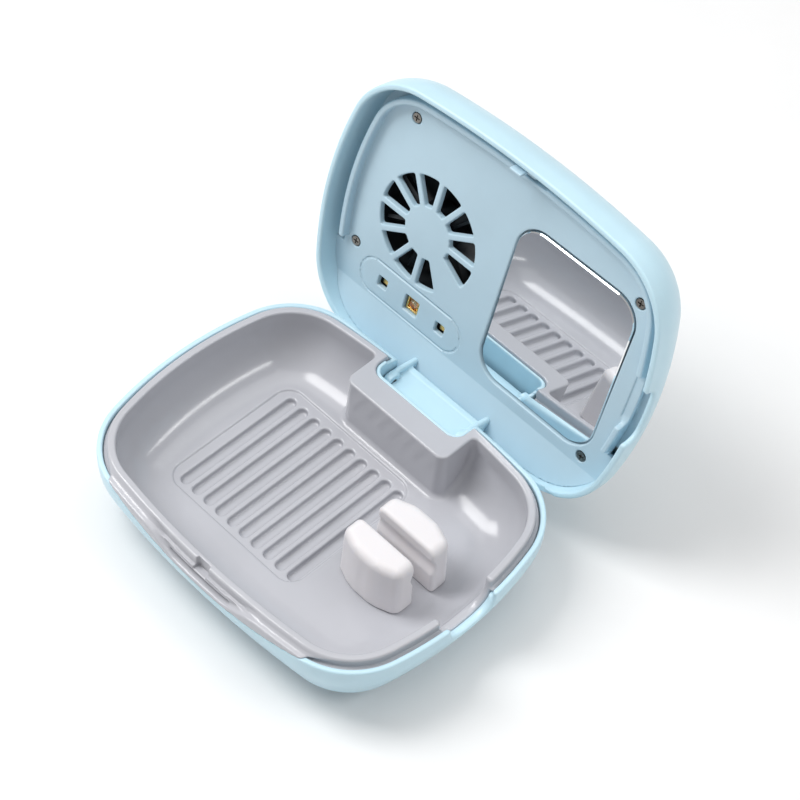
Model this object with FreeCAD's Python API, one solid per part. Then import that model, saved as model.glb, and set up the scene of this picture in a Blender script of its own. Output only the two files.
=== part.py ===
"""Travel toothbrush sanitizer: a bowl-shaped base with a lined tray and a soft two-jaw clip, and a
hinged lid that carries a UV lamp, a drying fan, a mirror and the electronics.
Millimetres, +Z up. X runs along the hinge, -Y is the front, the origin is under the base's centre."""
import FreeCAD, Part
import math
import os

# Overall outline: long sides, short sides and corners are arcs that meet tangentially
WIDTH = 90.0
DEPTH = 70.2
LONG_R = 218.6
SHORT_R = 87.2
CORNER_R = 17.7

# Base
RIM_Z = 18.0
SHELL_BOTTOM = 0.4
SHELL_WALL = 2.0
SHELL_FLOOR = 2.6
RIM_STRAIGHT = 2.0
FLARE_R = 14.0
DRAFT_DEG = 23.0
BOTTOM_R = 5.75
RIM_BAND = 1.25
FLANGE_LOW = 16.0
FLANGE_TOP = 17.2
PAD_GAP = 9.6
DIP_DEPTH = 3.6
DIP_R = 122.7

# Tray liner
LIP_OUT = 2.2
LIP_IN = 4.0
LIP_TOP = 19.4
LINER_WALL = 1.6
TRAY_FLOOR = 5.7
LINER_BOTTOM = 3.7
BOWL_R = 10.0
TROUGH_R = 54.3
TROUGH_DEPTH = 2.6
GROOVES = 10
GROOVE_PITCH = 3.7
GROOVE_W = 2.5
GROOVE_FIRST_X = -25.3

# Brush notch in the right-hand walls
NOTCH_HALF = 7.1
SHELL_NOTCH_HALF = 6.2
NOTCH_DEPTH = 6.0
LID_NOTCH_RISE = 4.0

# Hinge
HINGE_Y = 31.3
HINGE_Z = 13.7
OPEN_DEG = 104.0
PIN_R = 0.9
PIN_HALF = 12.9
KNUCKLE_R = 2.2
KNUCKLE_T = 1.9
ARM_HALF = 11.6
PLATE_TOP = 0.4
PLATE_T = 2.0
FIN_T = 1.4
POCKET_HALF = 12.0
POCKET_FRONT = 27.8
POCKET_FLOOR = 9.5
CRADLE_TOP = 18.9
CRADLE_RIM = 0.9
BLOCK_HALF = 14.7
BLOCK_FRONT = 21.0

# Lid, drawn closed and then swung open
LID_GAP = 0.3
LID_TOP = 34.0
LID_WALL = 1.9
LID_ROOF = 1.5
LID_R = 13.0
PANEL_Z = 23.1
PANEL_T = 1.4
PANEL_GAP = 2.0
BEAD_OUT = 3.9
BEAD_IN = 5.3
BEAD_RISE = 1.3
GROOVE_RISE = 1.2
FAN_X = -19.2
FAN_Y = -0.1
GRILLE_R = 13.4
GRILLE_HUB_R = 6.3
SPOKES = 12
SPOKE_W = 1.4
MIRROR_X = (2.5, 34.4)
MIRROR_Y = (-19.9, 21.0)
MIRROR_R = 6.3
LED_XS = (-26.4, -17.6, -9.0)
LED_Y = 19.3
SCREWS = ((-36.3, 14.5), (-30.0, -23.6), (33.8, 21.8), (33.6, -20.9))
SCREW_R = 0.7
SCREW_HEAD_R = 1.1
USB_Y = 13.5
USB_Z = 27.2
BUTTON_XY = (16.0, 4.0)
BUTTON_R = 4.5
LIGHT_XY = (24.5, 4.0)

JAW_X = (13.2, 31.0)
JAW_Y = 0.5
JAW_INNER = 2.15
JAW_OUTER = 9.2
JAW_LOW = 5.9
JAW_TOP = 20.2
NECK_R = 3.0
NECK_Z = 14.3

X_DIR = FreeCAD.Vector(1, 0, 0)
Y_DIR = FreeCAD.Vector(0, 1, 0)
Z_DIR = FreeCAD.Vector(0, 0, 1)


def vec(x, y, z):
    return FreeCAD.Vector(x, y, z)


def box(x0, x1, y0, y1, z0, z1):
    return Part.makeBox(x1 - x0, y1 - y0, z1 - z0, vec(x0, y0, z0))


def rod(radius, x, y, z0, z1):
    return Part.makeCylinder(radius, z1 - z0, vec(x, y, z0), Z_DIR)


def rod_x(radius, x0, x1, y, z):
    return Part.makeCylinder(radius, x1 - x0, vec(x0, y, z), X_DIR)


def edges_along(shape, direction):
    """Straight edges that run along one direction."""
    found = []
    for edge in shape.Edges:
        if isinstance(edge.Curve, Part.Line) and abs(abs(edge.Curve.Direction.dot(direction)) - 1) < 1e-6:
            found.append(edge)
    return found


def edges_at(shape, z):
    """Edges that lie in the plane at height z."""
    found = []
    for edge in shape.Edges:
        bounds = edge.BoundBox
        if abs(bounds.ZMin - z) < 1e-4 and abs(bounds.ZMax - z) < 1e-4:
            found.append(edge)
    return found


def slab(x0, x1, y0, y1, z0, z1, r):
    """Box with rounded upright edges."""
    block = box(x0, x1, y0, y1, z0, z1)
    return block.makeFillet(r, edges_along(block, Z_DIR))


def corner_centre():
    """Centre of the rear right corner arc."""
    long_c = vec(0, DEPTH / 2 - LONG_R, 0)
    short_c = vec(WIDTH / 2 - SHORT_R, 0, 0)
    a = LONG_R - CORNER_R
    b = SHORT_R - CORNER_R
    across = short_c - long_c
    span = across.Length
    u = across * (1 / span)
    v = vec(-u.y, u.x, 0)
    along = (a * a - b * b + span * span) / (2 * span)
    side = math.sqrt(a * a - along * along)
    options = [long_c + u * along + v * side, long_c + u * along - v * side]
    return max(options, key=lambda point: point.x + point.y)


def outline(gap, z):
    """The outline at height z, moved inwards by gap."""
    long_c = vec(0, DEPTH / 2 - LONG_R, 0)
    short_c = vec(WIDTH / 2 - SHORT_R, 0, 0)
    centre = corner_centre()
    to_long = (centre - long_c).normalize()
    to_short = (centre - short_c).normalize()
    p = long_c + to_long * (LONG_R - gap)
    q = short_c + to_short * (SHORT_R - gap)
    m = centre + (to_long + to_short).normalize() * (CORNER_R - gap)
    side = WIDTH / 2 - gap
    end = DEPTH / 2 - gap
    stops = [(-p.x, p.y), (0, end), (p.x, p.y), (m.x, m.y), (q.x, q.y), (side, 0), (q.x, -q.y),
             (m.x, -m.y), (p.x, -p.y), (0, -end), (-p.x, -p.y), (-m.x, -m.y), (-q.x, -q.y),
             (-side, 0), (-q.x, q.y), (-m.x, m.y), (-p.x, p.y)]
    points = [vec(x, y, z) for x, y in stops]
    arcs = []
    for i in range(0, 16, 2):
        arcs.append(Part.Arc(points[i], points[i + 1], points[i + 2]).toShape())
    return Part.Wire(arcs)


def prism(gap, z0, z1):
    return Part.Face(outline(gap, z0)).extrude(vec(0, 0, z1 - z0))


def rounded(gap, z0, z1, r, z_edge):
    """Prism with the rim at height z_edge rounded."""
    block = prism(gap, z0, z1)
    return block.makeFillet(r, edges_at(block, z_edge))


def bowl(gap, z_low, r):
    """Base bowl: straight rim, flared arc, drafted wall and a rounded bottom edge."""
    tilt = math.radians(DRAFT_DEG)
    flare_end = RIM_STRAIGHT + FLARE_R * math.sin(tilt)
    flare_in = FLARE_R * (1 - math.cos(tilt))
    depth = RIM_Z - z_low
    turn = depth - r * (1 - math.sin(tilt))
    turn_in = flare_in + (turn - flare_end) * math.tan(tilt)
    levels = [(0.0, 0.0), (RIM_STRAIGHT, 0.0)]
    for part in (0.35, 0.7, 1.0):
        a = tilt * part
        levels.append((RIM_STRAIGHT + FLARE_R * math.sin(a), FLARE_R * (1 - math.cos(a))))
    levels.append(((flare_end + turn) / 2, (flare_in + turn_in) / 2))
    for part in (0.0, 0.25, 0.5, 0.75, 1.0):
        a = tilt + (math.pi / 2 - tilt) * part
        drop = turn + r * (math.sin(a) - math.sin(tilt))
        levels.append((drop, turn_in + r * (math.cos(tilt) - math.cos(a))))
    wires = [outline(gap + inset, RIM_Z - drop) for drop, inset in levels]
    return Part.makeLoft(wires, True, False)


def notch(half, low, high):
    """Round-bottomed cutter through the right-hand wall for the brush."""
    r = 4.6
    block = box(30, 50, -half, half, low, high + 10)
    lower = [e for e in edges_along(block, X_DIR) if e.BoundBox.ZMax < low + 0.01]
    return block.makeFillet(min(r, half - 0.5), lower)


def lid_notch(half, rise):
    """The matching cutter for the lid's wall, round at the top."""
    block = box(30, 50, -half, half, RIM_Z - 1, RIM_Z + rise)
    upper = [e for e in edges_along(block, X_DIR) if e.BoundBox.ZMin > RIM_Z + rise - 0.01]
    return block.makeFillet(3.0, upper)


def front_dip(radius):
    """Wide shallow arc across the front rim."""
    drum = Part.makeCylinder(radius, 20, vec(0, -45, RIM_Z - DIP_DEPTH + DIP_R), Y_DIR)
    return drum.common(box(-40, 40, -45, -28, 10, RIM_Z + 3))


def base_shell():
    body = bowl(0.0, SHELL_BOTTOM, BOTTOM_R)
    body = body.cut(bowl(SHELL_WALL, SHELL_FLOOR, 4.5))
    body = body.cut(prism(RIM_BAND, FLANGE_LOW, RIM_Z + 1))
    half = POCKET_HALF + CRADLE_RIM
    cradle = slab(-half, half, POCKET_FRONT - CRADLE_RIM, 44, SHELL_FLOOR - 0.2, CRADLE_TOP, 3.0)
    low_part = cradle.common(bowl(0.0, SHELL_BOTTOM, BOTTOM_R))
    high_part = cradle.common(prism(LIP_OUT, RIM_Z - 0.5, LIP_TOP))
    body = body.fuse(low_part).fuse(high_part)
    body = body.cut(slab(-POCKET_HALF, POCKET_HALF, POCKET_FRONT, 44, POCKET_FLOOR, 24, 1.4))
    body = body.cut(rod_x(PIN_R + 0.02, -PIN_HALF - 1, PIN_HALF + 1, HINGE_Y, HINGE_Z))
    relief = box(-45, 45, HINGE_Y, 40, HINGE_Z, RIM_Z + 1)
    body = body.cut(relief.cut(rod_x(4.5, -45, 45, HINGE_Y, HINGE_Z)))
    body = body.cut(front_dip(DIP_R))
    body = body.cut(notch(SHELL_NOTCH_HALF, RIM_Z - NOTCH_DEPTH + 0.6, RIM_Z))
    return body.cut(prism(PAD_GAP - 0.2, SHELL_BOTTOM - 1, 1.2)).removeSplitter()


def foot_pad():
    return prism(PAD_GAP, 0.0, 1.15)


def weight_plate():
    return prism(13.0, SHELL_FLOOR + 0.05, LINER_BOTTOM - 0.15)


def groove_bed():
    """Shallow panel in the tray floor with drain grooves cut into it."""
    bed = slab(-29.0, 9.9, -17.5, 18.7, TRAY_FLOOR - 0.55, TRAY_FLOOR + 1, 4.0)
    for i in range(GROOVES):
        x = GROOVE_FIRST_X + GROOVE_PITCH * i
        half = GROOVE_W / 2
        slot = slab(x - half, x + half, -15.9, 16.6, TRAY_FLOOR - 1.4, TRAY_FLOOR, half - 0.01)
        bed = bed.fuse(slot)
    return bed


def hinge_block():
    block = box(-BLOCK_HALF, BLOCK_HALF, BLOCK_FRONT, 40, LINER_BOTTOM, LIP_TOP)
    front = [e for e in edges_along(block, Z_DIR) if e.BoundBox.YMax < BLOCK_FRONT + 0.01]
    return block.makeFillet(2.5, front)


def tray_liner():
    outer = rounded(LIP_IN - LINER_WALL, LINER_BOTTOM, LIP_TOP, BOWL_R + LINER_WALL, LINER_BOTTOM)
    solid = outer.fuse(prism(LIP_OUT, FLANGE_LOW + 0.05, LIP_TOP))
    body = solid.cut(rounded(LIP_IN, TRAY_FLOOR, LIP_TOP + 1, BOWL_R, TRAY_FLOOR))
    body = body.fuse(hinge_block().common(solid))
    body = body.fuse(prism(RIM_BAND + 0.1, FLANGE_LOW + 0.05, FLANGE_TOP).cut(prism(2.6, 10, 30)))
    apron = prism(0.12, 12, RIM_Z).common(front_dip(DIP_R - 0.05))
    body = body.fuse(apron.cut(prism(2.6, 10, 30)))
    body = body.cut(box(-13.4, 13.4, 22.5, 40, 3, LIP_TOP - 1.5))
    half = POCKET_HALF + CRADLE_RIM + 0.1
    body = body.cut(slab(-half, half, POCKET_FRONT - CRADLE_RIM - 0.1, 44, 3, 24, 3.1))
    trough = Part.makeCylinder(TROUGH_R, 20, vec(0, -45, RIM_Z - TROUGH_DEPTH + TROUGH_R), Y_DIR)
    trough = trough.common(box(-30, 30, -45, -28, 10, LIP_TOP + 1))
    body = body.cut(trough.cut(prism(LIP_OUT, 9, 30)))
    body = body.cut(box(-1.8, 1.8, -33.2, -32.1, 16.3, LIP_TOP + 1))
    body = body.cut(notch(NOTCH_HALF, RIM_Z - NOTCH_DEPTH, RIM_Z))
    relief = box(-45, 45, HINGE_Y, 40, HINGE_Z, LIP_TOP + 1).cut(rod_x(5.95, -45, 45, HINGE_Y, HINGE_Z))
    body = body.cut(relief)
    return body.cut(groove_bed()).removeSplitter()


def hinge_pins():
    """Two stub pins, held by the cradle's side walls."""
    inner = ARM_HALF - KNUCKLE_T + 0.1
    left = rod_x(PIN_R, -PIN_HALF, -inner, HINGE_Y, HINGE_Z)
    return Part.makeCompound([left, rod_x(PIN_R, inner, PIN_HALF, HINGE_Y, HINGE_Z)])


def clip_jaw(side):
    """One soft jaw: flat inner face, bowed outer face, narrower at the top. side is -1 or 1."""
    x0, x1 = JAW_X
    mid = (x0 + x1) / 2
    wires = []
    for z, inset in ((JAW_LOW, 0.5), (JAW_LOW + 2.5, 0.0), (JAW_TOP - 2.2, 0.35), (JAW_TOP, 0.9)):
        inner = side * JAW_INNER
        shoulder = side * (JAW_OUTER - 2.4 - inset)
        outer = side * (JAW_OUTER - inset)
        a = vec(x0 + inset, inner, z)
        b = vec(x1 - inset, inner, z)
        c = vec(x1 - inset, shoulder, z)
        d = vec(x0 + inset, shoulder, z)
        sides = [Part.makeLine(a, b), Part.makeLine(b, c)]
        sides.append(Part.Arc(c, vec(mid, outer, z), d).toShape())
        sides.append(Part.makeLine(d, a))
        wires.append(Part.Wire(sides))
    jaw = Part.makeLoft(wires, True, False).cut(rod_x(NECK_R, 0, 50, 0, NECK_Z))
    return jaw.translated(vec(0, JAW_Y, 0))


def clip_jaw_front():
    jaw = clip_jaw(-1)
    return jaw.makeFillet(1.2, edges_at(jaw, JAW_TOP))


def clip_jaw_rear():
    jaw = clip_jaw(1)
    return jaw.makeFillet(1.2, edges_at(jaw, JAW_TOP))


def lid_cavity(z0):
    return rounded(LID_WALL, z0, LID_TOP - LID_ROOF, LID_R - LID_WALL, LID_TOP - LID_ROOF)


def lid_lining(gap):
    """Solid that fills the lid's hollow, less a gap."""
    top = LID_TOP - LID_ROOF
    return rounded(gap, 15, top, LID_R - gap, top)


def hinge_arm():
    """Flat tongue with a knuckle and a fin at each end. Its plate is level when the lid is open."""
    top = HINGE_Z + PLATE_TOP
    plate = box(-ARM_HALF, ARM_HALF, HINGE_Y - 2.2, HINGE_Y + 6.3, top - PLATE_T, top)
    profile = [(-1.0, -1.2), (-1.0, 1.9), (2.5, 2.2), (8.4, 0.9), (8.4, -1.2), (-1.0, -1.2)]
    for x in (-ARM_HALF, ARM_HALF - FIN_T):
        points = [vec(x, HINGE_Y + y, HINGE_Z + z) for y, z in profile]
        plate = plate.fuse(Part.Face(Part.makePolygon(points)).extrude(vec(FIN_T, 0, 0)))
    plate.rotate(vec(0, HINGE_Y, HINGE_Z), X_DIR, OPEN_DEG)
    root = box(-ARM_HALF, ARM_HALF, HINGE_Y - 1.6, 40, RIM_Z + LID_GAP, RIM_Z + 1.4)
    arm = plate.fuse(root.common(prism(0.3, 10, 30)))
    for x0 in (-ARM_HALF, ARM_HALF - KNUCKLE_T):
        arm = arm.fuse(rod_x(KNUCKLE_R, x0, x0 + KNUCKLE_T, HINGE_Y, HINGE_Z))
    for x0 in (-ARM_HALF - 1, ARM_HALF - KNUCKLE_T):
        arm = arm.cut(rod_x(PIN_R + 0.06, x0, x0 + KNUCKLE_T + 1, HINGE_Y, HINGE_Z))
    return arm


def lid_shell():
    body = rounded(0.0, RIM_Z + LID_GAP, LID_TOP, LID_R, LID_TOP)
    body = body.cut(lid_cavity(RIM_Z))
    swing = rod_x(5.2, -45, 45, HINGE_Y, HINGE_Z).common(box(-45, 45, HINGE_Y, 40, 14, 24))
    body = body.cut(swing)
    for x, y in SCREWS:
        post = rod(2.3, x, y, PANEL_Z + PANEL_T, LID_TOP - LID_ROOF + 0.5)
        body = body.fuse(post.common(rounded(1.0, 20, LID_TOP - 0.5, 12, LID_TOP - 0.5)))
        body = body.cut(rod(SCREW_R + 0.05, x, y, PANEL_Z, 30.2))
    body = body.fuse(hinge_arm())
    body = body.cut(lid_notch(NOTCH_HALF, LID_NOTCH_RISE))
    body = body.cut(rod(BUTTON_R + 0.3, BUTTON_XY[0], BUTTON_XY[1], 30, 40))
    body = body.cut(rod(1.3, LIGHT_XY[0], LIGHT_XY[1], 30, 40))
    port = box(30, 50, USB_Y - 4.6, USB_Y + 4.6, USB_Z - 1.75, USB_Z + 1.75)
    port = port.makeFillet(1.6, edges_along(port, X_DIR))
    return body.cut(port).removeSplitter()


def lid_panel():
    """Inner cover: grooved rim, raised bead, sloped hinge side, grille, windows and mirror seat."""
    top = PANEL_Z + PANEL_T
    slope_y = 24.3
    body = prism(PANEL_GAP, PANEL_Z, top)
    body = body.cut(box(-50, 50, slope_y, 40, 20, 30))
    moat = prism(1.0, 22, PANEL_Z + GROOVE_RISE - 0.2).cut(prism(BEAD_OUT, 21, 30))
    moat = moat.cut(box(-50, 50, 16.5, 40, 20, 30))
    border = prism(PANEL_GAP, PANEL_Z, top + 0.9).cut(prism(5.6, 20, 30))
    body = body.fuse(border.cut(box(-50, 50, 15, 40, 20, 30)))
    body = body.cut(moat)
    bead = prism(BEAD_OUT, PANEL_Z - BEAD_RISE, PANEL_Z + 0.2).cut(prism(BEAD_IN, 20, 30))
    body = body.fuse(bead.cut(box(-50, 50, 14.8, 40, 20, 30)))
    ramp = [vec(-50, slope_y, PANEL_Z), vec(-50, slope_y, top), vec(-50, 33.1, 21.2), vec(-50, 33.1, 19.7)]
    ramp.append(ramp[0])
    band = Part.Face(Part.makePolygon(ramp)).extrude(vec(100, 0, 0)).common(prism(PANEL_GAP, 15, 30))
    body = body.fuse(band)
    body = body.fuse(slab(1.2, 35.8, -21.3, 22.4, top - 0.1, top + 0.8, 5.0))
    body = body.cut(slab(MIRROR_X[0] - 0.3, MIRROR_X[1] + 0.3, MIRROR_Y[0] - 0.3, MIRROR_Y[1] + 0.3,
                         PANEL_Z - 1, PANEL_Z + 1.3, MIRROR_R + 0.3))
    body = body.cut(grille_slots())
    for x in LED_XS:
        half = 2.05 if x == LED_XS[1] else 1.35
        body = body.cut(box(x - half, x + half, LED_Y - half, LED_Y + half, 20, 30))
    for x, y in SCREWS:
        body = body.cut(rod(SCREW_R + 0.1, x, y, 20, 30))
        body = body.cut(rod(SCREW_HEAD_R + 0.2, x, y, 20, PANEL_Z + 0.9))
        body = body.cut(rod(2.4, x, y, top - 0.01, 30))
    body = body.cut(box(-2.7, 6.4, -40, -30.8, 20, 30))
    body = body.cut(box(-ARM_HALF - 0.1, ARM_HALF + 0.1, HINGE_Y - 1.7, 40, 15, RIM_Z + 1.5))
    for x in (-ARM_HALF, ARM_HALF - FIN_T):
        body = body.cut(box(x - 0.1, x + FIN_T + 0.1, HINGE_Y - 4.2, 40, 15, HINGE_Z + 8.6))
    body = body.cut(box(-ARM_HALF - 0.1, ARM_HALF + 0.1, HINGE_Y - 2.9, HINGE_Y, 15, HINGE_Z + 7.9))
    body = body.cut(lid_notch(NOTCH_HALF, LID_NOTCH_RISE + 1.6).common(box(39.5, 50, -8, 8, 15, 30)))
    return body.common(lid_lining(PANEL_GAP)).removeSplitter()


def grille_slots():
    """Eleven tapered slots between parallel-sided spokes; one sector stays closed."""
    cutter = None
    step = 360.0 / SPOKES
    for i in range(SPOKES):
        if i == 1:
            continue
        middle = math.radians(step * (i + 0.5))
        half = math.radians(step / 2)
        near = SPOKE_W / 2 / math.sin(half)
        a = vec(near * math.cos(middle), near * math.sin(middle), 0)
        reach = 20.0
        b = a + vec(math.cos(middle - half), math.sin(middle - half), 0) * reach
        c = a + vec(math.cos(middle + half), math.sin(middle + half), 0) * reach
        wedge = Part.Face(Part.makePolygon([a, b, c, a])).extrude(vec(0, 0, 12))
        cutter = wedge if cutter is None else cutter.fuse(wedge)
    ring = rod(GRILLE_R, 0, 0, 0, 12).cut(rod(GRILLE_HUB_R, 0, 0, -1, 13))
    return cutter.common(ring).translated(vec(FAN_X, FAN_Y, 20))


def mirror():
    x0, x1 = MIRROR_X
    y0, y1 = MIRROR_Y
    return slab(x0, x1, y0, y1, PANEL_Z + 0.1, PANEL_Z + 1.3, MIRROR_R)


def latch_tab():
    tab = box(-2.2, 2.9, -33.1, -31.0, 21.2, 24.0)
    tab = tab.common(lid_lining(PANEL_GAP + 0.1))
    return tab.fuse(box(-1.5, 1.5, -33.0, -32.5, 17.3, 21.4))


def panel_screws():
    solids = []
    for x, y in SCREWS:
        head = rod(SCREW_HEAD_R, x, y, PANEL_Z + 0.1, PANEL_Z + 0.85)
        cross = box(x - 0.75, x + 0.75, y - 0.15, y + 0.15, PANEL_Z - 1, PANEL_Z + 0.5)
        cross = cross.fuse(box(x - 0.15, x + 0.15, y - 0.75, y + 0.75, PANEL_Z - 1, PANEL_Z + 0.5))
        screw = head.fuse(rod(SCREW_R, x, y, PANEL_Z + 0.8, 29.6)).cut(cross)
        solids.append(screw)
    return Part.makeCompound(solids)


def fan_frame():
    low = PANEL_Z + PANEL_T + 0.1
    body = slab(FAN_X - 15, FAN_X + 15, FAN_Y - 15, FAN_Y + 15, low, low + 6.2, 2.5)
    body = body.cut(rod(14.2, FAN_X, FAN_Y, low - 1, low + 5.3))
    outlet = box(FAN_X - 8, FAN_X + 8, FAN_Y - 16, FAN_Y - 5, low + 1.2, low + 5.3)
    return body.cut(outlet).fuse(rod(0.75, FAN_X, FAN_Y, low + 1.6, low + 5.6)).removeSplitter()


def fan_rotor():
    low = PANEL_Z + PANEL_T + 0.5
    body = rod(6.0, FAN_X, FAN_Y, low, low + 4.2).cut(rod(5.1, FAN_X, FAN_Y, low + 0.9, low + 5))
    body = body.fuse(rod(1.7, FAN_X, FAN_Y, low + 0.5, low + 4.2))
    for i in range(7):
        blade = box(5.6, 13.5, -0.4, 0.4, low + 0.2, low + 4.0)
        blade.rotate(vec(0, 0, low + 2.1), X_DIR, 35)
        blade.rotate(vec(0, 0, 0), Z_DIR, 360.0 / 7 * i)
        body = body.fuse(blade.translated(vec(FAN_X, FAN_Y, 0)))
    body = body.common(rod(13.4, FAN_X, FAN_Y, low, low + 4.4))
    return body.cut(rod(0.8, FAN_X, FAN_Y, low + 0.95, low + 6)).removeSplitter()


def led_board():
    return box(-30.5, -4.5, 16.6, 23.4, PANEL_Z + PANEL_T + 0.9, PANEL_Z + PANEL_T + 1.7)


def uvc_led():
    z = PANEL_Z + PANEL_T + 0.9
    return box(LED_XS[1] - 1.75, LED_XS[1] + 1.75, LED_Y - 1.75, LED_Y + 1.75, z - 1.5, z)


def uvc_lens():
    z = PANEL_Z + PANEL_T - 0.6
    return rod(1.1, LED_XS[1], LED_Y, z - 0.5, z)


def side_leds():
    z = PANEL_Z + PANEL_T + 0.9
    chips = [box(x - 0.8, x + 0.8, LED_Y - 1.0, LED_Y + 1.0, z - 0.8, z) for x in (LED_XS[0], LED_XS[2])]
    return Part.makeCompound(chips)


def main_board():
    return box(2.5, 34.5, -9.0, 18.2, 28.1, 29.1)


def battery():
    return slab(2.5, 28.0, -26.0, -11.0, 25.7, 29.9, 1.5)


def usb_port():
    shell = box(34.8, 41.2, USB_Y - 4.4, USB_Y + 4.4, USB_Z - 1.6, USB_Z + 1.6)
    shell = shell.makeFillet(1.4, edges_along(shell, X_DIR))
    hole = box(36.0, 45, USB_Y - 4.1, USB_Y + 4.1, USB_Z - 1.3, USB_Z + 1.3)
    shell = shell.cut(hole.makeFillet(1.2, edges_along(hole, X_DIR)))
    return shell.fuse(box(35.8, 40.6, USB_Y - 3.2, USB_Y + 3.2, USB_Z - 0.35, USB_Z + 0.35))


def tact_switch():
    x, y = BUTTON_XY
    return box(x - 2.2, x + 2.2, y - 2.2, y + 2.2, 29.1, 30.3).fuse(rod(1.2, x, y, 30.2, 30.7))


def power_button():
    x, y = BUTTON_XY
    cap = rod(BUTTON_R, x, y, 31.4, 34.25)
    cap = cap.makeFillet(0.4, edges_at(cap, 34.25))
    return cap.fuse(rod(BUTTON_R + 1.0, x, y, 31.4, 32.2))


def light_pipe():
    x, y = LIGHT_XY
    return rod(1.25, x, y, 29.2, 33.9).fuse(rod(1.9, x, y, 31.6, 32.4))


def export(node, shape):
    shape.exportStep("parts/" + node + ".step")


def swung(shape):
    """Swing a lid part from closed to the open rest position."""
    moved = shape.copy()
    moved.rotate(vec(0, HINGE_Y, HINGE_Z), X_DIR, -OPEN_DEG)
    return moved


os.makedirs("parts", exist_ok=True)

for make in (base_shell, foot_pad, weight_plate, tray_liner, hinge_pins, clip_jaw_front, clip_jaw_rear):
    export(make.__name__, make())

for make in (lid_shell, lid_panel, mirror, latch_tab, panel_screws, fan_frame, fan_rotor, led_board,
             uvc_led, uvc_lens, side_leds, main_board, battery, usb_port, tact_switch, power_button,
             light_pipe):
    export(make.__name__, swung(make()))
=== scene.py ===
"""Looks for the travel toothbrush sanitizer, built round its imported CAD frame.

The moulded pieces are smooth solids described by signed distances (negative inside, in
millimetres, in the CAD frame) and meshed here. Lid pieces are described closed and then swung
open."""

import math

import bpy
import numpy as np
from mathutils import Matrix, Vector


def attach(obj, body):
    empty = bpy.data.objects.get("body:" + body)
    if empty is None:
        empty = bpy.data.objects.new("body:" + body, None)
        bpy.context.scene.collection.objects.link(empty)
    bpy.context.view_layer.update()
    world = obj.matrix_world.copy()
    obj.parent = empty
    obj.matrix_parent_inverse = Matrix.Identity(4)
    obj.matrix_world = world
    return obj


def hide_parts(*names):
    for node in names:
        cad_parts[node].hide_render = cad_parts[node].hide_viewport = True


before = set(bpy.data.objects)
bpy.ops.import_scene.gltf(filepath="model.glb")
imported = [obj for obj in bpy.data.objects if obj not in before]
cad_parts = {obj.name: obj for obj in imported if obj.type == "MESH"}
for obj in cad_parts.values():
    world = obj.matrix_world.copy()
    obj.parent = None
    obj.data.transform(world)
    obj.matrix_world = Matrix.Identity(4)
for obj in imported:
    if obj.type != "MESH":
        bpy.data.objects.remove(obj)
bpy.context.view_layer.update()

MM = 0.001
STEP = 0.3

# Outline of the case: four side arcs and four corner arcs
WIDTH, DEPTH = 90.0, 70.2
LONG_R, SHORT_R, CORNER_R = 218.6, 87.2, 17.7

# Base bowl
RIM_Z = 18.0
BASE_LOW, BASE_FLOOR, BASE_WALL = 0.4, 2.6, 2.0
FLARE_START, FLARE_R, DRAFT = 2.0, 14.0, math.radians(23.0)

# Tray liner and hinge block
LIP_TOP = 19.4
LIP_OUT, LIP_IN = 2.25, 4.0
TRAY_FLOOR, LINER_LOW = 5.7, 3.4
BOWL_R = 10.0
HINGE_Y, HINGE_Z = 31.3, 13.7
OPEN = math.radians(104.0)
ARM_HALF, PLATE_TOP, FIN_X = 11.6, 0.4, 10.9
CRADLE_HALF, CRADLE_FRONT, CRADLE_TOP = 12.9, 26.9, 18.9
POCKET_HALF, POCKET_FRONT, POCKET_FLOOR = 12.0, 27.8, 9.5
BLOCK_HALF, BLOCK_FRONT = 14.7, 21.0
DIP_DEPTH, DIP_R = 3.6, 122.7
TROUGH_DEPTH = 2.7
BED = (-29.0, 9.9, -17.5, 18.7, 4.0)
GROOVES, GROOVE_PITCH, GROOVE_W, GROOVE_X = 10, 3.7, 2.5, -25.3
GROOVE_Y, GROOVE_HALF, GROOVE_FLOOR = 0.35, 15.1, 3.95
NOTCH_HALF, NOTCH_LOW = 7.1, 12.0

# Clip jaws
JAW_X, JAW_HALF, JAW_INNER, JAW_OUTER = 21.6, 8.6, 2.15, 9.2
JAW_Y, JAW_LOW, JAW_TOP = 0.8, 5.9, 19.8
NECK_Z, NECK_R = 14.3, 3.0

# Lid and inner panel, drawn closed; rectangles are x0, x1, y0, y1 and corner radius
LID_LOW, LID_TOP, LID_R, LID_WALL, LID_ROOF = 18.3, 34.0, 13.0, 1.4, 1.5
BUTTON_X, LIGHT_X, BUTTON_Y = 16.0, 24.5, 4.0
PANEL_Z, PANEL_T, PANEL_GAP, LEDGE_Z = 23.1, 1.4, 1.45, 24.9
FAN_X, FAN_Y = -19.2, -0.1
SECTORS, CLOSED_SECTOR, SPOKE_HALF, GRILLE_R, HUB_R = 12, 1, 0.7, 13.5, 6.3
MIRROR = (2.5, 34.4, -19.9, 21.0, 6.3)
SEAT_GAP = 0.35
LAMP_OVAL = (-33.0, -3.0, 14.6, 23.6, 4.4)
MIRROR_TILT = math.radians(1.3)
LED_XS, LED_Y = (-26.4, -17.6, -9.0), 19.3
LAMP_HALF, CAVITY_HALF, LENS_Z = 1.75, 1.3, 24.45
SCREWS = ((-36.3, 14.5), (-30.0, -23.6), (33.8, 21.8), (33.6, -20.9))


# ---------------------------------------------------------------- distances

def rmax(a, b, r):
    """Intersection with its edge rounded to radius r."""
    return np.minimum(np.maximum(a, b), -r) + np.hypot(np.maximum(a + r, 0), np.maximum(b + r, 0))


def cut(a, b, r=0.3):
    """a without b, its new edge rounded to radius r."""
    return rmax(a, -b, r)


def join(a, b, r=0.3):
    """Union with a concave fillet of radius r."""
    return -rmax(-a, -b, r)


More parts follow.
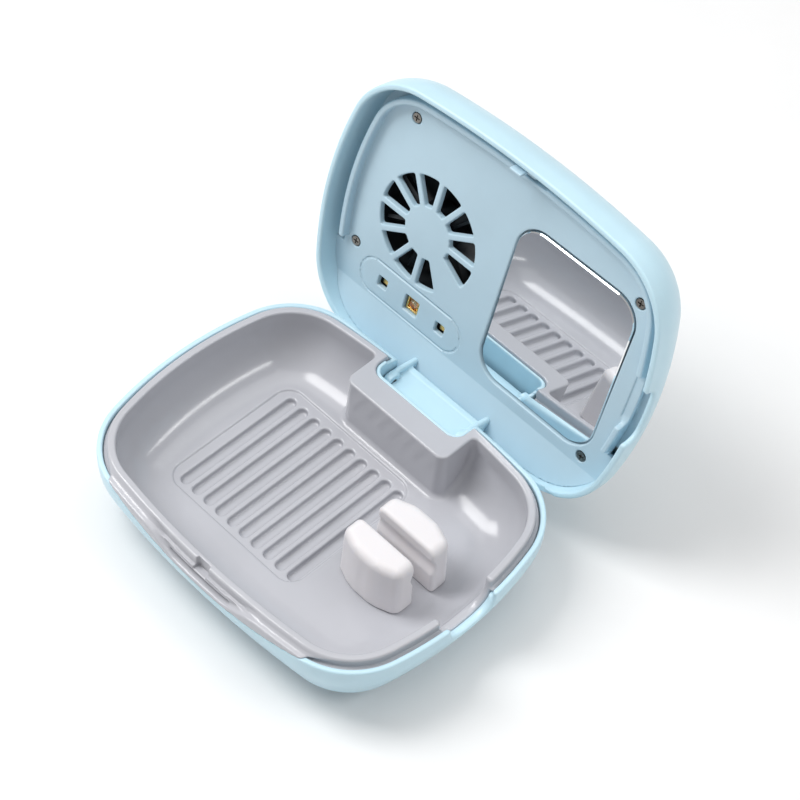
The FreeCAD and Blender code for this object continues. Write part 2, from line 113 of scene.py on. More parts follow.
def rect(u, v, u0, u1, v0, v1, r):
    """Rectangle in a plane with rounded corners."""
    a = np.abs(u - (u0 + u1) / 2) - (u1 - u0) / 2 + r
    b = np.abs(v - (v0 + v1) / 2) - (v1 - v0) / 2 + r
    return np.hypot(np.maximum(a, 0), np.maximum(b, 0)) + np.minimum(np.maximum(a, b), 0) - r


def square(u, v, half, r):
    return rect(u, v, -half, half, -half, half, r)


def between(v, low, high):
    return np.maximum(low - v, v - high)


def from_hinge(y, z):
    """Distance from the hinge axis."""
    return np.hypot(y - HINGE_Y, z - HINGE_Z)


def brush_notch(x, y, z, half, low, high, r, start=30.0):
    """Cutter for the gap that the brush handle leaves through, on the right-hand side."""
    return np.maximum(rect(y, z, -half, half, low, high, r), start - x)


def corner_arc():
    """Centre of the corner arc, and the angles at which it meets the long and the short side."""
    long_y, short_x = DEPTH / 2 - LONG_R, WIDTH / 2 - SHORT_R
    a, b = LONG_R - CORNER_R, SHORT_R - CORNER_R
    span = math.hypot(short_x, long_y)
    ux, uy = short_x / span, -long_y / span
    along = (a * a - b * b + span * span) / (2 * span)
    side = math.sqrt(a * a - along * along)
    x, y = ux * along + uy * side, long_y + uy * along - ux * side
    return x, y, math.atan2(y - long_y, x), math.atan2(y, x - short_x)


CORNER_X, CORNER_Y, LONG_ANGLE, SHORT_ANGLE = corner_arc()


def inset(x, y):
    """Distance inwards from the outline."""
    ax, ay = np.abs(x), np.abs(y)
    sides = np.minimum(LONG_R - np.hypot(ax, ay - DEPTH / 2 + LONG_R),
                       SHORT_R - np.hypot(ax - WIDTH / 2 + SHORT_R, ay))
    dx, dy = ax - CORNER_X, ay - CORNER_Y
    in_corner = (dy * math.cos(SHORT_ANGLE) > dx * math.sin(SHORT_ANGLE)) & (
        dy * math.cos(LONG_ANGLE) < dx * math.sin(LONG_ANGLE))
    return np.where(in_corner, CORNER_R - np.hypot(dx, dy), sides)


def dip_z(x, depth, r):
    """Height of a shallow arc across the front rim."""
    return RIM_Z - depth + r - np.sqrt(np.maximum(r * r - x * x, 1.0))


def base_wall(i, z):
    """Outer wall of the base: straight rim, flare and draft."""
    t = RIM_Z - z
    flare_end = FLARE_START + FLARE_R * math.sin(DRAFT)
    bent = np.clip(t - FLARE_START, 0, FLARE_R - 0.1)
    arc = FLARE_R - np.sqrt(FLARE_R ** 2 - bent ** 2)
    line = FLARE_R * (1 - math.cos(DRAFT)) + (t - flare_end) * math.tan(DRAFT)
    return (np.where(t > flare_end, line, arc) - i) * math.cos(DRAFT * 0.7)


def base_shape(x, y, z):
    i = inset(x, y)
    wall = base_wall(i, z)
    outer = rmax(wall, BASE_LOW - z, 5.5)
    body = np.maximum(outer, -rmax(wall + BASE_WALL, BASE_FLOOR - z, 4.0))
    body = np.maximum(body, -np.maximum(1.25 - i, 16.0 - z))
    body = rmax(body, z - RIM_Z, 0.42)
    cradle = rect(x, y, -CRADLE_HALF, CRADLE_HALF, CRADLE_FRONT, 44.0, 3.0)
    body = np.minimum(body, np.maximum(cradle, np.maximum(outer + 0.02, z - 17.8)))
    collar = rmax(cradle, z - CRADLE_TOP, 0.3)
    body = np.minimum(body, np.maximum(np.maximum(collar, 17.0 - z), 2.3 - i))
    pocket = rect(x, y, -POCKET_HALF, POCKET_HALF, POCKET_FRONT, 46.0, 2.2)
    body = cut(body, rmax(pocket, POCKET_FLOOR - z, 1.2), 0.3)
    swing = 4.5 - from_hinge(y, z)
    body = cut(body, np.maximum(swing, np.maximum(HINGE_Y - y, HINGE_Z - z)), 0.3)
    dip = np.maximum(dip_z(x, DIP_DEPTH, DIP_R) - z, y + 28.0)
    body = cut(body, dip, 0.25)
    body = cut(body, brush_notch(x, y, z, 6.2, NOTCH_LOW + 0.6, 40.0, 4.4), 0.9)
    return np.maximum(body, -np.maximum(9.4 - i, z - 1.2))


def groove_shape(x, y, z):
    """Row of round-ended drain grooves."""
    n = np.clip(np.round((x - GROOVE_X) / GROOVE_PITCH), 0, GROOVES - 1)
    u = x - GROOVE_X - n * GROOVE_PITCH
    v = np.maximum(np.abs(y - GROOVE_Y) - GROOVE_HALF, 0)
    return rmax(np.hypot(u, v) - GROOVE_W / 2, GROOVE_FLOOR - z, 0.5)


def liner_shape(x, y, z):
    i = inset(x, y)
    outer = rmax(LIP_OUT - i, LINER_LOW - z, BOWL_R + 1.6)
    hollow = rmax(LIP_IN - i, TRAY_FLOOR - z, BOWL_R)
    body = np.maximum(outer, -hollow)
    block = rect(x, y, -BLOCK_HALF, BLOCK_HALF, BLOCK_FRONT, 44.0, 2.2) - (LIP_TOP - z) * 0.02
    body = np.maximum(join(body, block, 1.3), outer)
    body = rmax(body, z - LIP_TOP, 0.5)
    flange = rmax(np.maximum(1.35 - i, i - 3.2), between(z, 16.05, 17.2), 0.15)
    body = join(body, flange, 0.25)
    fade = np.clip((np.abs(x) - 6.0) / 11.5, 0, 1)
    top = RIM_Z + 0.2 - (TROUGH_DEPTH + 0.2) * (0.5 + 0.5 * np.cos(math.pi * fade))
    apron = np.maximum(np.maximum(0.12 - i, i - 3.2), dip_z(x, DIP_DEPTH, DIP_R) + 0.05 - z)
    apron = rmax(np.maximum(apron, y + 20.0), z - top, 0.45)
    body = join(body, apron, 0.3 + 1.1 * fade)
    latch_slot = rect(x, y, -1.8, 1.8, -34.0, -32.0, 0.3)
    body = cut(body, np.maximum(latch_slot, 16.4 - z), 0.15)
    bed = rmax(rect(x, y, *BED), TRAY_FLOOR - 0.4 - z, 0.2)
    body = cut(body, np.maximum(bed, z - 9.0), 0.45)
    body = cut(body, np.maximum(groove_shape(x, y, z), z - 9.0), 0.4)
    body = cut(body, brush_notch(x, y, z, NOTCH_HALF, NOTCH_LOW, 40.0, 4.6), 0.7)
    body = np.maximum(body, -np.maximum(rect(x, y, -13.4, 13.4, 22.5, 46.0, 1.0), z - 17.9))
    pocket = rect(x, y, -CRADLE_HALF - 0.05, CRADLE_HALF + 0.05, CRADLE_FRONT - 0.05, 46.0, 3.1)
    return cut(body, pocket, 0.35)


def jaw_shape(side):
    """Soft jaw: flat inner face hollowed for the brush neck, faceted and bowed outer face."""
    def shape(x, y, z):
        u, v = np.abs(x - JAW_X - 0.5 * side), (y - JAW_Y) * side
        lean = (z - JAW_LOW) * 0.03
        facet = rmax(v - JAW_OUTER + lean, u * 0.375 + v * 0.927 - 9.75 + lean, 0.8)
        flank = rmax(facet, u - JAW_HALF + lean, 1.4)
        body = rmax(rmax(flank, z - JAW_TOP, 2.0), JAW_INNER - v, 0.9)
        body = cut(body, np.hypot(v, z - NECK_Z) - NECK_R, 0.5)
        return rmax(body, JAW_LOW - z, 0.4)
    return shape


def arm_shape(x, y, z):
    """Hinge tongue: a plate that lies level when the lid is open, with a rounded fin and knuckle
    at each end."""
    dy, dz = y - HINGE_Y, z - HINGE_Z
    c, s = math.cos(OPEN), math.sin(OPEN)
    v, w = dy * c + dz * s, dz * c - dy * s
    side = np.abs(np.abs(x) - FIN_X)
    plate = rmax(rect(v, w, -2.2, 6.1, PLATE_TOP - 2.0, PLATE_TOP, 0.3), np.abs(x) - ARM_HALF, 0.3)
    fin = np.maximum(side - 0.7, rect(v, w, -0.2, 7.6, -1.2, 0.6, 0.3))
    for start, end in (((-0.2, 1.15), (2.5, 1.45)), ((2.5, 1.45), (7.6, 0.2))):
        ev, ew = end[0] - start[0], end[1] - start[1]
        t = np.clip(((v - start[0]) * ev + (w - start[1]) * ew) / (ev * ev + ew * ew), 0, 1)
        spine = np.sqrt((v - start[0] - t * ev) ** 2 + (w - start[1] - t * ew) ** 2 + side ** 2)
        fin = np.minimum(fin, spine - 0.75)
    knuckle = rmax(np.hypot(dy, dz) - 2.2, np.abs(np.abs(x) - 10.65) - 0.95, 0.3)
    arm = join(join(plate, fin, 0.6), knuckle, 0.4)
    root = np.maximum(np.abs(x) - ARM_HALF, rect(y, z, 29.75, 40.0, LID_LOW, 19.4, 0.15))
    return join(arm, np.maximum(root, 0.3 - inset(x, y)), 0.4)


def lid_shape(x, y, z):
    i = inset(x, y)
    hollow = rmax(LID_WALL - i, z - (LID_TOP - LID_ROOF), LID_R - LID_WALL)
    body = np.maximum(rmax(-i, z - LID_TOP, LID_R), -hollow)
    body = rmax(body, LID_LOW - z, 0.5)
    swing = from_hinge(y, z) - 5.2
    body = cut(body, np.maximum(swing, np.maximum(HINGE_Y - y, z - 24.0)), 0.2)
    body = join(body, arm_shape(x, y, z), 0.3)
    bore = np.maximum(from_hinge(y, z) - 0.96, 9.7 - np.abs(x))
    body = np.maximum(body, -bore)
    body = cut(body, brush_notch(x, y, z, NOTCH_HALF, 0.0, 22.0, 3.0), 0.8)
    button = np.maximum(np.hypot(x - BUTTON_X, y - BUTTON_Y) - 4.8, 28.0 - z)
    body = cut(body, button, 0.4)
    light = np.maximum(np.hypot(x - LIGHT_X, y - BUTTON_Y) - 1.3, 28.0 - z)
    body = np.maximum(body, -light)
    port = np.maximum(rect(y, z, 8.9, 18.1, 25.45, 28.95, 1.6), 30.0 - x)
    return cut(body, port, 0.3)


def grille_shape(x, y, z):
    """Eleven open sectors between parallel spokes; one sector stays closed."""
    u, v = x - FAN_X, y - FAN_Y
    r = np.hypot(u, v)
    step = 2 * math.pi / SECTORS
    turn = np.arctan2(v, u) / step
    sector = np.floor(turn)
    off = (turn - sector - 0.5) * step
    draft = (z - PANEL_Z) * 0.12
    side = SPOKE_HALF + draft - r * np.sin(step / 2 - np.abs(off))
    hole = rmax(rmax(side, r - GRILLE_R + draft, 0.5), HUB_R + draft - r, 0.4)
    return np.where(np.mod(sector, SECTORS) == CLOSED_SECTOR, 1.0, hole)


def panel_shape(x, y, z):
    i = inset(x, y)
    top = PANEL_Z + PANEL_T
    ramp_face = (z - PANEL_Z) * 0.9328 + (y - 24.3) * 0.3604
    flat = between(z, PANEL_Z, top)
    ramp = between(ramp_face, 0.0, PANEL_T)
    body = join(np.maximum(flat, y - 25.2), np.maximum(ramp, 23.6 - y), 0.05)
    body = np.maximum(body, PANEL_GAP - i)
    ledge = np.maximum(between(z, LEDGE_Z, 26.0), PANEL_GAP - i)
    body = np.minimum(body, np.maximum(ledge, np.maximum(i - 5.4, y - 15.0)))
    outside = np.maximum(np.maximum(i - 3.9, y - 16.6), z - LEDGE_Z)
    body = cut(body, outside, 0.3)
    bead_y = np.where(x < 0, 14.4, 15.2)
    bead = np.abs(i - 4.6) - 0.7
    bead = rmax(rmax(bead, y - bead_y, 0.6), between(z, 20.9, 23.6), 0.45)
    body = join(body, bead, 0.2)
    seam = np.abs(rect(x, y, *LAMP_OVAL)) - 0.24
    body = cut(body, np.maximum(seam, z - PANEL_Z - 0.14), 0.12)
    x0, x1, y0, y1, radius = MIRROR
    seat = rect(x, y, x0 - SEAT_GAP, x1 + SEAT_GAP, y0 - SEAT_GAP, y1 + SEAT_GAP,
                radius + SEAT_GAP)
    body = np.minimum(body, np.maximum(seat - 1.2, between(z, 24.3, 25.3)))
    body = cut(body, np.maximum(seat, z - PANEL_Z - 1.3), 0.3)
    body = cut(body, np.maximum(grille_shape(x, y, z), z - top - 0.5), 0.3)
    for n, led_x in enumerate(LED_XS):
        half = 2.05 if n == 1 else 1.35
        window = rect(x, y, led_x - half, led_x + half, LED_Y - half, LED_Y + half, 0.4)
        body = cut(body, window, 0.25)
    for sx, sy in SCREWS:
        r = np.hypot(x - sx, y - sy)
        body = cut(body, np.maximum(r - 1.35, z - PANEL_Z - 0.9), 0.2)
        body = np.maximum(body, 0.8 - r)
    body = cut(body, rect(x, y, -2.7, 6.4, -40.0, -30.8, 0.5), 0.2)
    body = cut(body, brush_notch(x, y, z, NOTCH_HALF, 0.0, 23.4, 2.4, start=39.0), 0.4)
    root = rect(x, y, -ARM_HALF - 0.1, ARM_HALF + 0.1, 29.6, 40.0, 0.1)
    return np.maximum(body, -np.maximum(root, z - 19.45))


def lamp_shape(x, y, z):
    """Lamp package: a square frame round a shallow cavity."""
    u, v = x - LED_XS[1], y - LED_Y
    body = rmax(square(u, v, LAMP_HALF, 0.25), between(z, 23.9, 25.4), 0.08)
    return cut(body, np.maximum(square(u, v, CAVITY_HALF, 0.3), z - 24.5), 0.06)


def lens_shape(x, y, z):
    """Dome over the lamp, on a thin skirt."""
    u, v = x - LED_XS[1], y - LED_Y
    dome = np.sqrt(u * u + v * v + (z - LENS_Z) ** 2) - 1.05
    skirt = rmax(np.hypot(u, v) - 1.2, between(z, 24.2, LENS_Z), 0.08)
    return np.minimum(np.maximum(dome, z - LENS_Z), skirt)


def tab_shape(x, y, z):
    """Latch tab with the nose that reaches down to the front lip."""
    tab = rmax(rect(x, y, -2.2, 2.9, -33.1, -31.0, 0.3), between(z, 21.2, 23.9), 0.4)
    nose = rmax(rect(x, y, -1.5, 1.5, -33.0, -32.45, 0.1), between(z, 17.3, 21.6), 0.15)
    return join(tab, nose, 0.3)


# ---------------------------------------------------------------- meshing

def gradient(shape, points):
    """Slope of the distance at each point, by central differences."""
    e = 0.02
    g = np.empty_like(points)
    for k in range(3):
        d = np.zeros(3)
        d[k] = e
        a, b = points + d, points - d
        g[:, k] = (shape(a[:, 0], a[:, 1], a[:, 2]) - shape(b[:, 0], b[:, 1], b[:, 2])) / (2 * e)
    return g


def surface_net(shape, low, high, h):
    """Quads on the zero level of shape: one vertex per crossed cell, drawn onto the surface."""
    low = np.array(low, float)
    count = np.ceil((np.array(high) - low) / h).astype(int) + 1
    axes = [low[k] + h * np.arange(count[k]) for k in range(3)]
    x, y, z = np.meshgrid(*axes, indexing="ij", sparse=True)
    f = np.broadcast_to(shape(x, y, z), count).astype(np.float32)
    solid = f < 0
    total = np.zeros(count - 1, np.int8)
    corners = [(a, b, c) for a in (0, 1) for b in (0, 1) for c in (0, 1)]
    for a, b, c in corners:
        total += solid[a:count[0] - 1 + a, b:count[1] - 1 + b, c:count[2] - 1 + c]
    mixed = (total > 0) & (total < 8)
    cells = np.argwhere(mixed)
    number = np.full(mixed.shape, -1, np.int32)
    number[mixed] = np.arange(len(cells))
    place = np.zeros((len(cells), 3))
    hits = np.zeros(len(cells))
    for k in range(3):
        along = np.eye(3, dtype=int)[k]
        for a, b, c in corners:
            if (a, b, c)[k]:
                continue
            start = cells + (a, b, c)
            end = start + along
            fa = f[start[:, 0], start[:, 1], start[:, 2]]
            fb = f[end[:, 0], end[:, 1], end[:, 2]]
            crossed = (fa < 0) != (fb < 0)
            t = fa[crossed] / (fa[crossed] - fb[crossed])
            place[crossed] += np.array((a, b, c)) + t[:, None] * along
            hits[crossed] += 1
    points = low + h * (cells + place / hits[:, None])
    for _ in range(3):
        g = gradient(shape, points)
        d = shape(points[:, 0], points[:, 1], points[:, 2])
        move = (d / np.maximum((g * g).sum(1), 0.05))[:, None] * g
        points -= np.clip(move, -h / 2, h / 2)
    quads = []
    for k in range(3):
        i, j = [(1, 2), (2, 0), (0, 1)][k]
        first = np.take(solid, range(count[k] - 1), axis=k)
        second = np.take(solid, range(1, count[k]), axis=k)
        nodes = np.argwhere(first != second)
        above = (nodes[:, i] > 0) & (nodes[:, j] > 0)
        below = (nodes[:, i] < count[i] - 1) & (nodes[:, j] < count[j] - 1)
        nodes = nodes[above & below]
        ring = []
        for di, dj in ((-1, -1), (0, -1), (0, 0), (-1, 0)):
            cell = nodes.copy()
            cell[:, i] += di
            cell[:, j] += dj
            ring.append(number[cell[:, 0], cell[:, 1], cell[:, 2]])
        ring = np.stack(ring, 1)
        inside = solid[nodes[:, 0], nodes[:, 1], nodes[:, 2]]
        ring[~inside] = ring[~inside][:, ::-1]
        quads.append(ring)
    return points, np.concatenate(quads)


def swing_open(points, y0=HINGE_Y, z0=HINGE_Z):
    """Closed lid coordinates to the open rest pose; directions turn about y0 = z0 = 0."""
    y, z = points[:, 1] - y0, points[:, 2] - z0
    c, s = math.cos(OPEN), math.sin(OPEN)
    return np.stack([points[:, 0], y0 + y * c + z * s, z0 - y * s + z * c], 1)


def moulded(name, shape, low, high, body, nodes, material, step=STEP, keep=0.35, lid=False):
    """Mesh one moulded piece, thin it out, shade it with the shape's own normals and place it."""
    points, quads = surface_net(shape, low, high, step)
    mesh = bpy.data.meshes.new(name)
    mesh.from_pydata(points.tolist(), [], quads.tolist())
    piece = bpy.data.objects.new(name, mesh)
    bpy.context.scene.collection.objects.link(piece)
    thin = piece.modifiers.new("thin", "DECIMATE")
    thin.ratio = keep
    bpy.context.view_layer.update()
    depsgraph = bpy.context.evaluated_depsgraph_get()
    piece.data = bpy.data.meshes.new_from_object(piece.evaluated_get(depsgraph))
    piece.modifiers.clear()
    mesh = piece.data
    mesh.name = name
    points = np.array([v.co for v in mesh.vertices], float)
    normals = gradient(shape, points)
    normals /= np.maximum(np.linalg.norm(normals, axis=1, keepdims=True), 1e-6)
    if lid:
        points, normals = swing_open(points), swing_open(normals, 0.0, 0.0)
    mesh.vertices.foreach_set("co", (points * MM).astype(np.float32).ravel())
    mesh.polygons.foreach_set("use_smooth", np.ones(len(mesh.polygons), bool))
    mesh.update()
    mesh.normals_split_custom_set_from_vertices(normals.tolist())
    mesh.materials.append(material)
    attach(piece, body)
    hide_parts(*nodes)
    return piece


# ---------------------------------------------------------------- materials

def new_material(name):
    material = bpy.data.materials.new(name)
    material.use_nodes = True
    tree = material.node_tree
    return material, tree, tree.nodes["Principled BSDF"]


def noise(tree, scale, detail=4.0):
    coords = tree.nodes.new("ShaderNodeTexCoord")
    texture = tree.nodes.new("ShaderNodeTexNoise")
    texture.inputs["Scale"].default_value = scale
    texture.inputs["Detail"].default_value = detail
    texture.inputs["Roughness"].default_value = 0.55
    tree.links.new(coords.outputs["Object"], texture.inputs["Vector"])
    return texture.outputs["Fac"]


def spread(tree, source, low, high):
    """Noise value stretched to the range from low to high."""
    node = tree.nodes.new("ShaderNodeMapRange")
    node.inputs["From Min"].default_value = 0.3
    node.inputs["From Max"].default_value = 0.7
    node.inputs["To Min"].default_value = low
    node.inputs["To Max"].default_value = high
    tree.links.new(source, node.inputs["Value"])
    return node.outputs["Result"]


def blend_colors(tree, source, a, b):
    node = tree.nodes.new("ShaderNodeMix")
    node.data_type = "RGBA"
    node.inputs["A"].default_value = (*a, 1)
    node.inputs["B"].default_value = (*b, 1)
    tree.links.new(source, node.inputs["Factor"])
    return node.outputs["Result"]


def add_bump(tree, shader, height, strength, distance):
    bump = tree.nodes.new("ShaderNodeBump")
    bump.inputs["Strength"].default_value = strength
    bump.inputs["Distance"].default_value = distance
    tree.links.new(height, bump.inputs["Height"])
    tree.links.new(bump.outputs["Normal"], shader.inputs["Normal"])


def moulding(name, color, rough, grain=2200.0, bump=0.12, change=0.05, spec=0.5, sheen=0.0,
             through=0.0):
    """Moulded plastic or rubber: cloudy tone, uneven gloss and a fine surface grain."""
    material, tree, shader = new_material(name)
    deep = tuple(c * (1 - change) for c in color)
    pale = tuple(min(1.0, c * (1 + change * 0.6)) for c in color)
    cloud = noise(tree, 45.0, 5.0)
    tree.links.new(blend_colors(tree, spread(tree, cloud, 0, 1), deep, pale),
                   shader.inputs["Base Color"])
    tree.links.new(spread(tree, noise(tree, 160.0, 6.0), rough * 0.85, rough * 1.15),
                   shader.inputs["Roughness"])
    add_bump(tree, shader, noise(tree, grain, 3.0), bump, 0.00004)
    shader.inputs["Specular IOR Level"].default_value = spec
    shader.inputs["Sheen Weight"].default_value = sheen
    if through:
        shader.inputs["Subsurface Weight"].default_value = through
        shader.inputs["Subsurface Radius"].default_value = (0.003, 0.0035, 0.004)
        shader.inputs["Subsurface Scale"].default_value = 1.0
    return material


def metal(name, color, rough, grain=900.0):
    material, tree, shader = new_material(name)
    pale = tuple(min(1.0, c * 1.08) for c in color)
    tree.links.new(blend_colors(tree, noise(tree, grain / 3), color, pale),
                   shader.inputs["Base Color"])
    tree.links.new(spread(tree, noise(tree, grain), rough * 0.7, rough * 1.3),
                   shader.inputs["Roughness"])
    add_bump(tree, shader, noise(tree, grain * 2), 0.1, 0.00003)
    shader.inputs["Metallic"].default_value = 1.0
    return material


def clear(name, color):
    material, tree, shader = new_material(name)
    shader.inputs["Base Color"].default_value = (*color, 1)
    shader.inputs["Transmission Weight"].default_value = 0.9
    shader.inputs["IOR"].default_value = 1.46
    tree.links.new(spread(tree, noise(tree, 600.0), 0.03, 0.12), shader.inputs["Roughness"])
    return material


def board(name, color, trace):
    """Circuit board: solder mask with paler tracks under it."""
    material, tree, shader = new_material(name)
    coords = tree.nodes.new("ShaderNodeTexCoord")
    cells = tree.nodes.new("ShaderNodeTexVoronoi")
    cells.distance = "MANHATTAN"
    cells.feature = "DISTANCE_TO_EDGE"
    cells.inputs["Scale"].default_value = 420.0
    tree.links.new(coords.outputs["Object"], cells.inputs["Vector"])
    track = tree.nodes.new("ShaderNodeMapRange")
    track.inputs["From Min"].default_value = 0.04
    track.inputs["From Max"].default_value = 0.08
    tree.links.new(cells.outputs["Distance"], track.inputs["Value"])
    tree.links.new(blend_colors(tree, track.outputs["Result"], trace, color),
                   shader.inputs["Base Color"])
    tree.links.new(spread(tree, noise(tree, 300.0), 0.3, 0.45), shader.inputs["Roughness"])
    add_bump(tree, shader, track.outputs["Result"], 0.3, 0.00005)
    return material


BLUE = (0.54, 0.75, 0.85)
PANEL_BLUE = (0.49, 0.66, 0.76)
GRAY = (0.48, 0.485, 0.52)

shell_blue = moulding("shell_blue", BLUE, 0.34, through=0.08)
panel_blue = moulding("panel_blue", PANEL_BLUE, 0.38, through=0.05)
liner_gray = moulding("liner_gray", GRAY, 0.17, change=0.04, spec=0.55, bump=0.05)
silicone = moulding("silicone_white", (0.76, 0.735, 0.75), 0.55, grain=1400.0, bump=0.2,
                    change=0.02, sheen=0.15, through=0.15)
black = moulding("fan_black", (0.018, 0.022, 0.026), 0.42, change=0.3)
pad = moulding("pad_rubber", (0.30, 0.32, 0.34), 0.7, grain=1800.0, bump=0.5, sheen=0.2)
white = moulding("button_white", (0.80, 0.82, 0.83), 0.35)
steel = metal("steel", (0.60, 0.60, 0.61), 0.35)
# Screw metal is painted dark: painted shade standing for the shadow in the deep holes the screw
# heads sit in
nickel_painted_shade = metal("screw_nickel", (0.20, 0.19, 0.175), 0.3)
gold = metal("led_gold", (0.83, 0.55, 0.20), 0.25)
foil = metal("battery_foil", (0.70, 0.72, 0.75), 0.4, grain=400.0)
glass = clear("lens_glass", (0.80, 0.50, 0.28))
pipe = clear("pipe_clear", (0.9, 0.95, 0.98))
green = board("board_green", (0.02, 0.16, 0.07), (0.06, 0.30, 0.13))
board_dark = board("board_dark", (0.035, 0.04, 0.045), (0.07, 0.075, 0.08))

mirror_glass, mirror_tree, mirror_shader = new_material("mirror_glass")
mirror_shader.inputs["Metallic"].default_value = 1.0
silver = blend_colors(mirror_tree, noise(mirror_tree, 30.0),
                      (0.86, 0.88, 0.89), (0.90, 0.91, 0.92))
mirror_tree.links.new(silver, mirror_shader.inputs["Base Color"])
mirror_tree.links.new(spread(mirror_tree, noise(mirror_tree, 250.0), 0.015, 0.035),
                      mirror_shader.inputs["Roughness"])

# ---------------------------------------------------------------- moulded pieces

EDGE = 0.9
HALF_W, HALF_D = WIDTH / 2 + EDGE, DEPTH / 2 + EDGE

moulded("base_bowl", base_shape, (-HALF_W, -HALF_D, -0.4), (HALF_W, HALF_D, RIM_Z + EDGE),
        "base", ["base_shell"], shell_blue)
moulded("liner_tray", liner_shape, (-HALF_W, -HALF_D, LINER_LOW - EDGE),
        (HALF_W, HALF_D, LIP_TOP + EDGE), "base", ["tray_liner"], liner_gray)
for side, node, jaw in ((-1, "clip_jaw_front", "jaw_front"), (1, "clip_jaw_rear", "jaw_rear")):
    ends = sorted((JAW_Y + side * 1.5, JAW_Y + side * 9.9))
    moulded(node + "_soft", jaw_shape(side), (12.6, ends[0], 5.2), (31.7, ends[1], 20.9), jaw,
            [node], silicone)
moulded("lid_cover", lid_shape, (-HALF_W, -HALF_D, 10.4), (HALF_W, HALF_D, LID_TOP + EDGE),
        "lid", ["lid_shell"], shell_blue, lid=True)
moulded("lid_inner", panel_shape, (-HALF_W, -HALF_D, 19.2), (HALF_W, HALF_D, 26.8),
        "lid", ["lid_panel"], panel_blue, step=STEP * 0.85, keep=0.5, lid=True)
moulded("lamp_frame", lamp_shape, (-19.7, 17.2, 23.6), (-15.5, 21.4, 25.7),
        "lid", ["uvc_led"], gold, step=0.07, lid=True)
moulded("lamp_lens", lens_shape, (-19.1, 17.8, 23.1), (-16.1, 20.8, 24.8),
        "lid", ["uvc_lens"], glass, step=0.07, lid=True)


def mirror_plate():
    """Glass plate: flat face, bevelled edge and upright sides, glued in with a slight tilt."""
    x0, x1, y0, y1, radius = MIRROR
    rings = []
    for step_in, z in ((0.0, 24.35), (0.0, 23.45), (0.22, 23.2)):
        ring = []
        for cx, cy, first in ((x1 - radius, y1 - radius, 0), (x0 + radius, y1 - radius, 90),
                              (x0 + radius, y0 + radius, 180), (x1 - radius, y0 + radius, 270)):
            for n in range(25):
                a = math.radians(first + n * 3.75)
                r = radius - step_in
                ring.append((cx + r * math.cos(a), cy + r * math.sin(a), z))
        rings.append(ring)
    count = len(rings[0])
    faces = [tuple(range(count)), tuple(range(3 * count - 1, 2 * count - 1, -1))]
    for level in (0, count):
        for n in range(count):
            m = (n + 1) % count
            faces.append((level + m, level + n, level + count + n, level + count + m))
    points = np.array(rings[0] + rings[1] + rings[2])
    points[:, 2] += (points[:, 1] - (y0 + y1) / 2) * math.tan(MIRROR_TILT)
    points = swing_open(points) * MM
    mesh = bpy.data.meshes.new("mirror_plate")
    mesh.from_pydata(points.tolist(), [], faces)
    mesh.polygons.foreach_set("use_smooth", np.ones(len(faces), bool))
    mesh.set_sharp_from_angle(angle=math.radians(25))
    mesh.update()
    mesh.materials.append(mirror_glass)
    plate = bpy.data.objects.new("mirror_plate", mesh)
    bpy.context.scene.collection.objects.link(plate)
    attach(plate, "lid")
    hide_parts("mirror")


mirror_plate()
moulded("latch_nose", tab_shape, (-3.0, -33.8, 16.6), (3.6, -30.2, 24.8),
        "lid", ["latch_tab"], panel_blue, step=STEP / 2, lid=True)

# ---------------------------------------------------------------- CAD pieces that keep their shape

FINISHES = {
    "foot_pad": pad, "weight_plate": steel, "hinge_pins": steel, "panel_screws": nickel_painted_shade,
    "fan_frame": black, "fan_rotor": black, "led_board": board_dark, "side_leds": gold,
    "main_board": green, "battery": foil, "usb_port": steel, "tact_switch": black,
    "power_button": white, "light_pipe": pipe,
}
for node, material in FINISHES.items():
    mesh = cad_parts[node].data
    mesh.materials.clear()
    mesh.materials.append(material)

# ---------------------------------------------------------------- stage

EYE = Vector((0.19563, -0.20337, 0.41443))
FLOOR_HALF = 3
LIGHT_REACH = 0.65


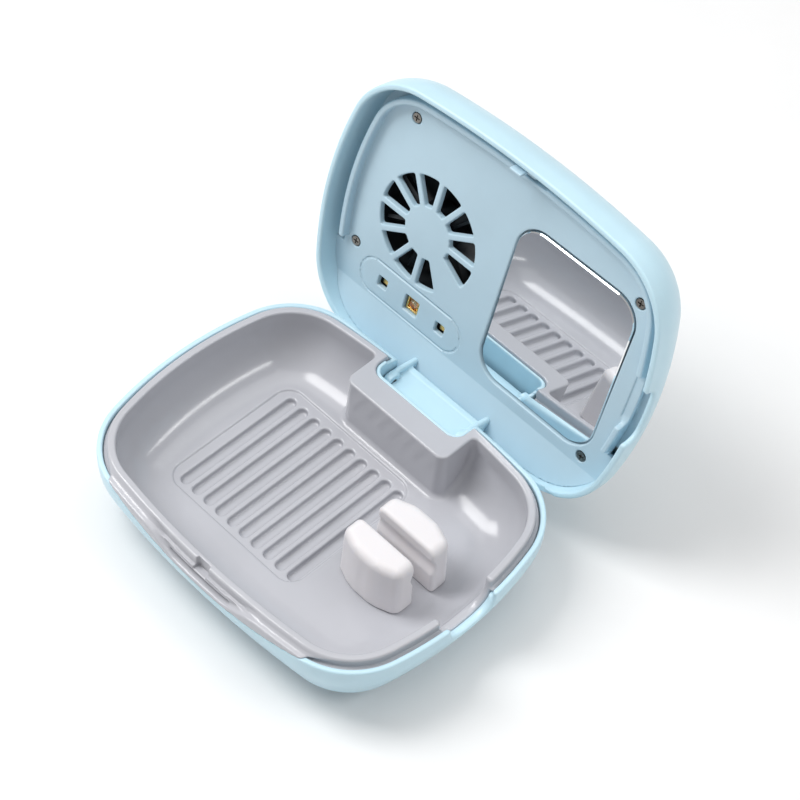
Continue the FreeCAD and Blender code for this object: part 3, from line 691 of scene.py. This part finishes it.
def area_light(name, place, target, size, power):
    data = bpy.data.lights.new(name, "AREA")
    data.shape = "RECTANGLE"
    data.size, data.size_y = size
    data.energy = power
    light = bpy.data.objects.new(name, data)
    light.location = place
    light.rotation_euler = (Vector(target) - Vector(place)).to_track_quat("-Z", "Y").to_euler()
    bpy.context.scene.collection.objects.link(light)


floor_mesh = bpy.data.meshes.new("floor")
floor_mesh.from_pydata([(-FLOOR_HALF, -FLOOR_HALF, 0), (FLOOR_HALF, -FLOOR_HALF, 0),
                        (FLOOR_HALF, FLOOR_HALF, 0), (-FLOOR_HALF, FLOOR_HALF, 0)],
                       [], [(0, 1, 2, 3)])
floor = bpy.data.objects.new("floor", floor_mesh)
bpy.context.scene.collection.objects.link(floor)
floor_white = moulding("floor_white", (0.86, 0.86, 0.86), 0.8, change=0.01, spec=0.2)
floor_mesh.materials.append(floor_white)

world = bpy.data.worlds.new("studio")
world.use_nodes = True
background = world.node_tree.nodes["Background"]
background.inputs["Color"].default_value = (1, 1, 1, 1)
background.inputs["Strength"].default_value = 0.42
bpy.context.scene.world = world


def reflection_light(name, spot, size, power):
    """Soft box that the camera sees reflected in the tray's glossy wall at spot (millimetres)."""
    normal = Vector(gradient(liner_shape, np.array([spot], float))[0]).normalized()
    spot = Vector(spot) * MM
    ray = (EYE - spot).normalized()
    bounce = 2 * normal.dot(ray) * normal - ray
    area_light(name, spot + bounce * LIGHT_REACH, spot, size, power)


reflection_light("key", (27.5, 23.4, 6.8), (0.24, 0.40), 2.7)
reflection_light("strip", (-36.6, 5.5, 7.7), (0.32, 0.07), 0.75)
area_light("overhead", (-0.10, 0.15, 0.85), (0, 0.0, 0.02), (0.75, 0.55), 1.8)
bpy.context.scene.view_settings.view_transform = "Standard"

camera_data = bpy.data.cameras.new("camera")
camera_data.lens = 105.4
camera_data.sensor_width = 36.0
camera_data.clip_start = 0.01
camera = bpy.data.objects.new("camera", camera_data)
right = Vector((0.70091, 0.71070, 0.06026))
up = Vector((-0.59162, 0.53211, 0.60567))
back = right.cross(up)
turn = Matrix((right, up, back)).transposed().to_4x4()
camera.matrix_world = Matrix.Translation(EYE) @ turn
bpy.context.scene.collection.objects.link(camera)
bpy.context.scene.camera = camera
